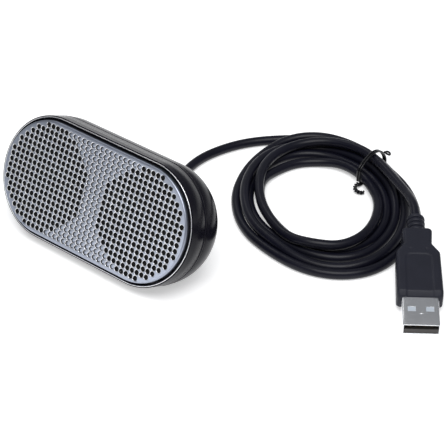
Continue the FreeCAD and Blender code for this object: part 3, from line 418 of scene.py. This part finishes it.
def open_loops(code, height):
    """Closed loops of open edges that lie at one height."""
    edges = {e for e in code.edges if e.is_boundary
             and all(abs(v.co.z - height) < 1e-4 for v in e.verts)}
    return list(edges)


grille = bmesh.new()
for column in range(-COLUMNS, COLUMNS):
    for line in range(-LINES, LINES):
        across, up = column + 0.5, line + 0.5
        if math.hypot(max(abs(across) - ENDS_FROM, 0), up) > FIELD_RADIUS:
            continue
        from_driver = min(math.hypot(across - side * DRIVER_AT, up) for side in (-1, 1)) * PITCH
        x, y = across * PITCH, up * PITCH
        rings = [cell_border(x, y, 0)]
        profile = THROUGH if from_driver <= HOLE_FIELD else DIMPLE
        rings += [round_ring(r, -depth, (x, y), CELL_STEPS) for r, depth in profile]
        if from_driver <= HOLE_FIELD:
            rings.append(cell_border(x, y, PLATE_THICK))
            sew(grille, rings)
        else:
            made = sew(grille, rings)
            grille.faces.new(made[-1])
            back = [grille.verts.new(p) for p in cell_border(x, y, PLATE_THICK)]
            grille.faces.new(back)
bmesh.ops.remove_doubles(grille, verts=grille.verts, dist=1e-4)
inner_edges = {depth: open_loops(grille, -depth) for depth in (0, PLATE_THICK)}
edge_section = arc(PLATE - PLATE_EDGE, PLATE_EDGE, PLATE_EDGE, -90, 0, 6)
edge_section += [(PLATE, SKIRT_END - 0.15), (PLATE - 0.1, SKIRT_END),
                 (PLATE - 0.7, SKIRT_END), (PLATE - 0.8, SKIRT_END - 0.1),
                 (PLATE - 0.8, PLATE_THICK)]
made = sew(grille, [stadium(radius, depth) for radius, depth in edge_section])
for ring, depth in ((made[0], 0), (made[-1], PLATE_THICK)):
    outline = [grille.edges.get((ring[i], ring[(i + 1) % len(ring)])) for i in range(len(ring))]
    bmesh.ops.triangle_fill(grille, use_beauty=True, edges=inner_edges[depth] + outline)
# Painted highlight on the rims round the holes (a near-white metal), painted shade on the walls
# inside them and on the bottoms of the dimple moats (a near-black finish).
for face in grille.faces:
    middle = face.calc_center_median()
    beyond = max(abs(middle.x) - CAP_CENTRE, 0)
    if math.hypot(beyond, middle.y) < PLATE - PLATE_EDGE - 0.1 and middle.z < -1e-4:
        if middle.z > -0.055:
            face.material_index = 1
        elif middle.z < -0.345 or abs(face.normal.z) < 0.6:
            face.material_index = 2
sheet = place_mesh("grille_sheet", grille, FACE, grille_silver, "grille_metal", "grille_plate",
                   sharp=30)
sheet.data.materials.append(painted_rim_highlight)
sheet.data.materials.append(painted_hole_shade)


# --------------------------------------------------------------- trim ring

trim = bmesh.new()
section = [(20.76, 1.95)] + arc(20.9, 1.45, 0.14, 180, 360, 8) + [(21.04, 1.95)]
sew(trim, [stadium(radius, depth) for radius, depth in section], closed=True)
place_mesh("trim_bead", trim, FACE, bright_trim, "trim_bright", "trim_ring", sharp=60)


# --------------------------------------------------------------- front case

WELL, BAFFLE_FRONT, BAFFLE_BACK = 20.4, 3.6, 5.2
DRIVER_OFFSET, DRIVER_OPENING = 21.8, 16.0
BASE_HEIGHT = 0.8
CAVITY, TONGUE, CASE = 18.9, 19.45, 21.4
SEAM = 9.1
case = bmesh.new()
section = [(CAVITY, BAFFLE_BACK), (CAVITY, 10.7), (CAVITY + 0.1, 10.8), (TONGUE - 0.1, 10.8),
           (TONGUE, 10.7), (TONGUE, SEAM), (CASE - 0.18, SEAM), (CASE - 0.04, SEAM - 0.06),
           (CASE, SEAM - 0.2), (CASE, 8.22), (CASE - 0.04, 8.16), (CASE - 0.12, 8.13),
           (CASE - 0.12, 8.0), (CASE - 0.04, 7.97), (CASE, 7.91), (CASE, 4.0), (CASE, 1.72)]
section += arc(CASE - 0.22, 1.62, 0.22, 0, -90, 4)
section += [(21.07, 1.4), (21.05, 1.5), (21.05, 2.0), (20.75, 2.0), (20.75, 1.5), (20.73, 1.42)]
section += arc(WELL + 0.2, 1.6, 0.2, -90, -180, 4)
section += [(WELL, BAFFLE_FRONT)]
made = sew(case, [stadium(radius, depth) for radius, depth in section])
openings = []
for side in (-1, 1):
    rings = ((DRIVER_OPENING + 0.15, BAFFLE_FRONT), (DRIVER_OPENING, BAFFLE_FRONT + 0.15),
             (DRIVER_OPENING, BAFFLE_BACK))
    openings.append(sew(case, [round_ring(radius, -depth, (side * DRIVER_OFFSET, 0), 72)
                               for radius, depth in rings]))
fill_between(case, [made[-1]] + [opening[0] for opening in openings])
fill_between(case, [made[0]] + [opening[-1] for opening in openings])
case.transform(FACE)
flat_base = bmesh.ops.bisect_plane(case, geom=case.verts[:] + case.edges[:] + case.faces[:],
                                   plane_co=(0, 0, BASE_HEIGHT * MM), plane_no=(0, 0, 1),
                                   clear_inner=True)
cut_edges = [e for e in flat_base["geom_cut"] if isinstance(e, bmesh.types.BMEdge)]
bmesh.ops.triangle_fill(case, use_beauty=True, edges=cut_edges)
place_mesh("front_case", case, Matrix.Identity(4), gloss_black, "case_plastic", "front_shell")


# -------------------------------------------------------------------- feet

for name in ("left", "right"):
    low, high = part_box(f"foot_{name}")
    pad = bmesh.new()
    bmesh.ops.create_cube(pad, size=1)
    middle = (low + high) / 2
    span = high - low
    pad.transform(Matrix.Translation(middle) @ Matrix.Diagonal((*span, 1)))
    upright = [e for e in pad.edges if abs(e.verts[0].co.z - e.verts[1].co.z) > 1e-5]
    bmesh.ops.bevel(pad, geom=upright, offset=0.0018, segments=6, profile=0.5, affect="EDGES")
    rim = [e for e in pad.edges if all(abs(v.co.z - low.z) < 1e-6 for v in e.verts)]
    bmesh.ops.bevel(pad, geom=rim, offset=0.0002, segments=3, profile=0.5, affect="EDGES")
    place_mesh(f"foot_pad_{name}", pad, Matrix.Identity(4), rubber, "soft_rubber", f"foot_{name}")


# ---------------------------------------------------------- plug overmould

MOULD_LONG = 31.0
# Stations behind the front: distance, half width, half thickness.
STATIONS = [(0, 7.1, 2.5), (0.25, 7.35, 2.8), (0.9, 7.58, 3.35), (1.55, 7.6, 3.85),
            (1.8, 7.6, 3.96), (2.1, 7.6, 4.0),
            (19.0, 7.33, 4.0), (19.7, 7.24, 4.0), (20.4, 6.85, 4.0), (23.2, 4.98, 4.0),
            (23.9, 4.76, 4.0), (24.5, 4.74, 4.0), (28.5, 4.98, 4.0), (29.8, 5.02, 3.98),
            (30.4, 4.88, 3.84), (30.8, 4.6, 3.6), (31.0, 4.2, 3.3)]
TOP_STEPS = 44
CORNER_STEPS = 6
CORNER = 1.15
PANEL_HALF, PANEL_NEAR, PANEL_FAR, PANEL_CORNER = 4.6, -6.0, 18.7, 2.4
PANEL_DEEP = 0.24


def along_stations(distance):
    """Half width and half thickness of the overmould at a distance behind its front."""
    for (a, wide_a, thick_a), (b, wide_b, thick_b) in zip(STATIONS, STATIONS[1:]):
        if a <= distance <= b:
            share = (distance - a) / (b - a)
            return wide_a + (wide_b - wide_a) * share, thick_a + (thick_b - thick_a) * share
    return STATIONS[-1][1:]


def pressed(x, distance):
    """How far the flat face is pressed in: the panel, and the two dimples behind it."""
    centre = (PANEL_NEAR + PANEL_FAR) / 2
    over_x = abs(x) - (PANEL_HALF - PANEL_CORNER)
    over_y = abs(distance - centre) - ((PANEL_FAR - PANEL_NEAR) / 2 - PANEL_CORNER)
    outside = (math.hypot(max(over_x, 0), max(over_y, 0)) + min(max(over_x, over_y), 0)
               - PANEL_CORNER)
    share = min(max(-outside / 0.4, 0), 1)
    deep = PANEL_DEEP * share * share * (3 - 2 * share)
    dimple = min(max(1 - math.hypot(abs(x) - 2.7, distance - 20.7) / 0.62, 0), 1)
    return deep + 0.30 * dimple * dimple * (3 - 2 * dimple)


def mould_ring(distance):
    """Outline of the overmould at a distance behind its front."""
    wide, thick = along_stations(distance)
    corner = min(CORNER, thick * 0.45)
    ring = []
    for side in (1, -1):
        for i in range(TOP_STEPS + 1):
            x = side * (wide - corner) * (1 - 2 * i / TOP_STEPS)
            ring.append((x, -distance, side * (thick - pressed(x, distance))))
        for i in range(1, 2 * CORNER_STEPS):
            angle = math.radians(90 + 180 * i / (2 * CORNER_STEPS))
            drop = (thick - corner) if i < CORNER_STEPS else -(thick - corner)
            if i == CORNER_STEPS:
                ring.append((-side * wide, -distance, side * (thick - corner) * 0.5))
                ring.append((-side * wide, -distance, -side * (thick - corner) * 0.5))
                continue
            ring.append((side * (-(wide - corner) + corner * math.cos(angle)), -distance,
                         side * (drop + corner * math.sin(angle))))
    return ring


mould = bmesh.new()
stops = sorted({s for s, _, _ in STATIONS} | {round(0.3 * i, 3) for i in range(104)})
stops = [s for s in stops if s <= MOULD_LONG]
rings = sew(mould, [mould_ring(s) for s in stops])
for ring in (rings[0], rings[-1]):
    mould.faces.new(ring)
plug_grip = place_mesh("plug_grip", mould, PLUG, mould_plastic, "overmould_plastic",
                       "plug_overmould", sharp=50)

boot = bmesh.new()
section = [(0.4, 30.6), (2.4, 30.6)]
for ring in range(4):
    start = MOULD_LONG + 2.0 * ring
    section += [(2.45, start + 0.25), (2.85, start + 0.38), (3.05, start + 0.62),
                (3.1, start + 1.0), (3.05, start + 1.38), (2.85, start + 1.62),
                (2.45, start + 1.75)]
section += [(2.35, 38.9), (1.9, 39.0), (0.4, 39.0)]
turned = [[(x, -depth, z) for x, z, _ in round_ring(radius, 0, steps=40)]
          for radius, depth in section]
sew(boot, turned, closed=True)
plug_collar = place_mesh("plug_cable_collar", boot, PLUG, mould_plastic, "overmould_plastic",
                         "plug_boot")


# -------------------------------------------------------------- plug shell

SHELL_WIDE, SHELL_TALL = 12.0, 4.5
SHEET = 0.3
WINDOWS_ACROSS = ((-4.25, -1.65), (1.65, 4.25))
WINDOW_ALONG = (4.1, 6.1)
# Where the sheet is divided, so that windows, seam and stop have edges of their own.
ACROSS = [-5.55, -4.25, -1.65, -0.5, -0.05, 0.05, 0.5, 1.65, 4.25, 5.55]
ALONG = [-2.0, 0.0, 3.0, 4.1, 6.1, 7.0, 7.25, 9.5, 11.4, 11.75, 12.0]


def shell_ring(y):
    """Outline of the metal shell, a little smaller at its mouth."""
    lip = 0.06 if y >= 11.7 else 0.0
    half_wide, half_tall, corner = SHELL_WIDE / 2 - lip, SHELL_TALL / 2 - lip, 0.45
    ring = []
    for side in (1, -1):
        ring += [(side * -x, y, side * half_tall) for x in ACROSS]
        for i in range(1, 10):
            if i == 5:
                continue
            angle = math.radians(90 + 20 * (i if i < 5 else i - 1))
            drop = (half_tall - corner) * (1 if i < 5 else -1)
            ring.append((side * (-(half_wide - corner) + corner * math.cos(angle)), y,
                         side * (drop + corner * math.sin(angle))))
    return ring


shell = bmesh.new()
sew(shell, [shell_ring(y) for y in ALONG])
shell.faces.ensure_lookup_table()


def sheet_faces(x_low, x_high, y_low, y_high, top):
    """Faces of the upper (1) or lower (-1) sheet of the shell inside a rectangle."""
    found = []
    for face in shell.faces:
        c = face.calc_center_median()
        if (x_low < c.x < x_high and y_low < c.y < y_high
                and abs(top * c.z - SHELL_TALL / 2) < 0.1):
            found.append(face)
    return found


bmesh.ops.recalc_face_normals(shell, faces=shell.faces)
for x_low, x_high in WINDOWS_ACROSS:
    for top in (1, -1):
        window = sheet_faces(x_low, x_high, *WINDOW_ALONG, top)
        bmesh.ops.inset_region(shell, faces=window, thickness=0.06, depth=-0.27)
        for face in window:
            face.material_index = 1
seam_strip = sheet_faces(-0.05, 0.05, -2, 12, 1)
for vert in {v for face in seam_strip for v in face.verts}:
    vert.co.z -= 0.03
bmesh.ops.inset_region(shell, faces=sheet_faces(-0.5, 0.5, 7.0, 7.25, 1), thickness=0.03,
                       depth=-0.10)
metal_shell = place_mesh("plug_metal_shell", shell, PLUG, nickel, "nickel", "plug_shell", sharp=35)
metal_shell.data.materials.append(pale_insulator)
thickness = metal_shell.modifiers.new("sheet", "SOLIDIFY")
thickness.thickness = SHEET * MM
thickness.offset = -1
edge_round = metal_shell.modifiers.new("edges", "BEVEL")
edge_round.width = 0.00005
edge_round.segments = 2
edge_round.limit_method = "ANGLE"
edge_round.angle_limit = math.radians(40)


# --------------------------------------------------------------- twist tie

def smooth_line(points, steps=8):
    """Points on a Catmull-Rom curve."""
    line = []
    for i in range(len(points) - 1):
        p0, p1, p2, p3 = (Vector(points[min(max(k, 0), len(points) - 1)])
                          for k in (i - 1, i, i + 1, i + 2))
        for step in range(steps):
            t = step / steps
            line.append(0.5 * ((2 * p1) + (p2 - p0) * t + (2 * p0 - 5 * p1 + 4 * p2 - p3) * t ** 2
                               + (3 * p1 - p0 - 3 * p2 + p3) * t ** 3))
    return line + [Vector(points[-1])]


def sweep(code, line, radius, sides=10):
    """A round wire along a line of points, with closed ends."""
    heading = (line[1] - line[0]).normalized()
    side = heading.orthogonal().normalized()
    rings = []
    for i, point in enumerate(line):
        heading = (line[min(i + 1, len(line) - 1)] - line[max(i - 1, 0)]).normalized()
        side = (side - heading * side.dot(heading)).normalized()
        other = heading.cross(side)
        size = radius * (0.6 if i in (0, len(line) - 1) else 1)
        rings.append([point + side * size * math.cos(2 * math.pi * k / sides)
                      + other * size * math.sin(2 * math.pi * k / sides) for k in range(sides)])
    made = sew(code, rings)
    for ring in (made[0], made[-1]):
        code.faces.new(ring)


# Round the bundle from its inner side: up, over, out to the loop and back underneath.
TIE = [
    (42.6, 84.1, 2.2), (42.7, 83.9, 5.6), (42.7, 84.7, 7.8), (42.6, 88.2, 9.5), (42.5, 92.6, 10.4),
    (42.3, 96.4, 9.3), (42.1, 99.3, 6.8), (42.0, 100.9, 3.9), (42.0, 100.6, 1.0),
    (42.2, 97.0, 0.55), (42.5, 90.0, 0.55), (42.7, 85.0, 0.6), (42.9, 83.2, 1.2),
]
TIE_WIRE = 0.42
tie = bmesh.new()
for shift in (-0.46, 0.46):
    sweep(tie, smooth_line([(x + shift, y, z) for x, y, z in TIE]), TIE_WIRE)
# Twisted ends inside the coil, and the bent-over end loop outside it.
TWIST = [(42.8, 83.6, 1.6), (43.0, 81.9, 1.7), (43.7, 80.4, 1.6), (45.0, 79.7, 1.3),
         (46.4, 80.1, 1.0), (47.2, 81.2, 0.9)]
twist_line = smooth_line(TWIST, 10)
for phase in (0, math.pi):
    strand = []
    for i, point in enumerate(twist_line):
        ahead = twist_line[min(i + 1, len(twist_line) - 1)]
        heading = (ahead - twist_line[max(i - 1, 0)]).normalized()
        side = heading.cross(Vector((0, 0, 1))).normalized()
        lift = side.cross(heading)
        angle = phase + i * 0.42
        strand.append(point + side * TIE_WIRE * math.cos(angle)
                      + lift * TIE_WIRE * math.sin(angle))
    sweep(tie, strand, TIE_WIRE * 0.9)
END_LOOP = [(42.0, 100.4, 6.6), (43.0, 101.0, 7.1), (44.2, 100.9, 7.0), (44.9, 99.9, 7.0),
            (44.5, 98.8, 7.7), (43.4, 98.3, 8.6)]
sweep(tie, smooth_line(END_LOOP), TIE_WIRE * 0.9)
tie_wire = place_mesh("twist_tie_wire", tie, Matrix.Diagonal((MM, MM, MM, 1)), tie_coating,
                      "tie_plastic", "twist_tie", sharp=60)


# --------------------------------------------------------- cord and plug

plug_pieces = [relief_boot, tie_wire, plug_collar, plug_grip, metal_shell, nodes["plug_insulator"]]
plug_pieces += [nodes[f"plug_contact_{i}"] for i in (1, 2, 3, 4)]


# -------------------------------------------------------- floor and lights

floor_mesh = bpy.data.meshes.new("floor")
code = bmesh.new()
bmesh.ops.create_grid(code, x_segments=1, y_segments=1, size=3)
code.to_mesh(floor_mesh)
code.free()
floor = bpy.data.objects.new("floor", floor_mesh)
scene.collection.objects.link(floor)
floor_mesh.materials.append(material("pale_floor", (0.90, 0.90, 0.905), 0.8, mottle=0.01, bump=0.0,
                                     patch=3, Emission_Color=(1, 1, 1, 1), Emission_Strength=0.45))

world = bpy.data.worlds.new("studio")
world.use_nodes = True
world.node_tree.nodes["Background"].inputs["Color"].default_value = (0.94, 0.96, 1.0, 1)
world.node_tree.nodes["Background"].inputs["Strength"].default_value = 0.28
scene.world = world


def soft_light(name, place, target, wide, tall, watts):
    """A rectangular lamp that faces a point; lengths in metres."""
    data = bpy.data.lights.new(name, "AREA")
    data.shape = "RECTANGLE"
    data.size, data.size_y = wide, tall
    data.energy = watts
    lamp = bpy.data.objects.new(name, data)
    scene.collection.objects.link(lamp)
    lamp.visible_camera = False
    lamp.location = place
    lamp.rotation_euler = (Vector(target) - Vector(place)).to_track_quat("-Z", "Y").to_euler()


soft_light("over", (0.30, -0.30, 0.95), (0.04, 0.03, 0), 0.8, 0.7, 9.0)
soft_light("back", (-0.55, 0.35, 0.75), (0.0, 0.03, 0.02), 0.25, 0.5, 0.7)
soft_light("front", (-0.067, -0.22, 0.05), (0.02, -0.01, 0.024), 0.10, 0.08, 0.06)
scene.view_settings.view_transform = "Standard"
